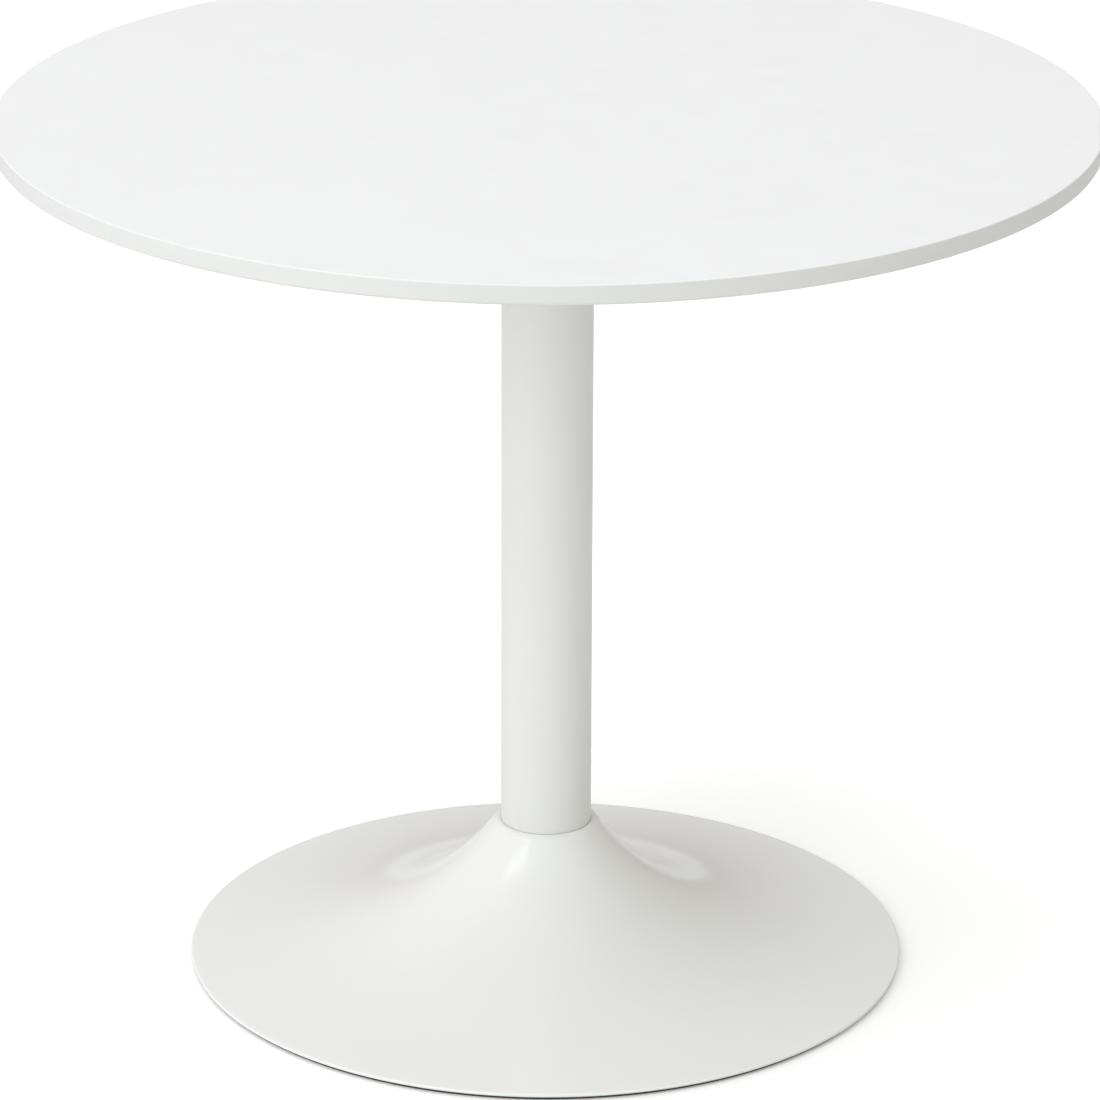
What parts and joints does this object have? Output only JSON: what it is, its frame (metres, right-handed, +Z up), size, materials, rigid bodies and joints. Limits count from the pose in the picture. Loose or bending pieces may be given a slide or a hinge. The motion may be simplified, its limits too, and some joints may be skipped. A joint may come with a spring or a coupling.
{
  "type": "round pedestal table",
  "caption": "Round table: a thin white round board on a slim steel column that rises from a flared trumpet base with a rubber floor ring.",
  "frame": {"origin": "on the floor at the centre of the column", "axes": "+Z up along the column to the board; +X and +Y level, the table being round and having no front"},
  "size_m": [0.9, 0.9, 0.74],
  "materials": {
    "top_lacquer": "white satin lacquer over fibreboard, very fine orange peel",
    "base_paint": "white gloss enamel on spun steel sheet",
    "column_paint": "white semi-gloss powder coat on steel tube",
    "black_steel": "thin black primer on cut steel plate",
    "zinc_steel": "bright zinc plating",
    "floor_rubber": "matt black moulded rubber",
    "gasket_plastic": "translucent grey-white sheet plastic"
  },
  "bodies": {
    "root": {"table_top": "top_lacquer", "mounting_plate": "column_paint", "column_tube": "column_paint", "column_foot_disc": "black_steel", "column_gasket": "gasket_plastic", "base_shell": "base_paint", "floor_ring": "floor_rubber", "neck_seat": "black_steel", "ballast_plate": "black_steel", "tie_bolt": "zinc_steel", "tie_flat_washer": "zinc_steel", "tie_spring_washer": "zinc_steel", "plate_bolt_1": "zinc_steel", "plate_washer_1": "zinc_steel", "top_insert_1": "zinc_steel", "plate_bolt_2": "zinc_steel", "plate_washer_2": "zinc_steel", "top_insert_2": "zinc_steel", "plate_bolt_3": "zinc_steel", "plate_washer_3": "zinc_steel", "top_insert_3": "zinc_steel", "plate_bolt_4": "zinc_steel", "plate_washer_4": "zinc_steel", "top_insert_4": "zinc_steel", "plate_bolt_5": "zinc_steel", "plate_washer_5": "zinc_steel", "top_insert_5": "zinc_steel", "plate_bolt_6": "zinc_steel", "plate_washer_6": "zinc_steel", "top_insert_6": "zinc_steel", "plate_bolt_7": "zinc_steel", "plate_washer_7": "zinc_steel", "top_insert_7": "zinc_steel", "plate_bolt_8": "zinc_steel", "plate_washer_8": "zinc_steel", "top_insert_8": "zinc_steel"}
  },
  "joints": []
}
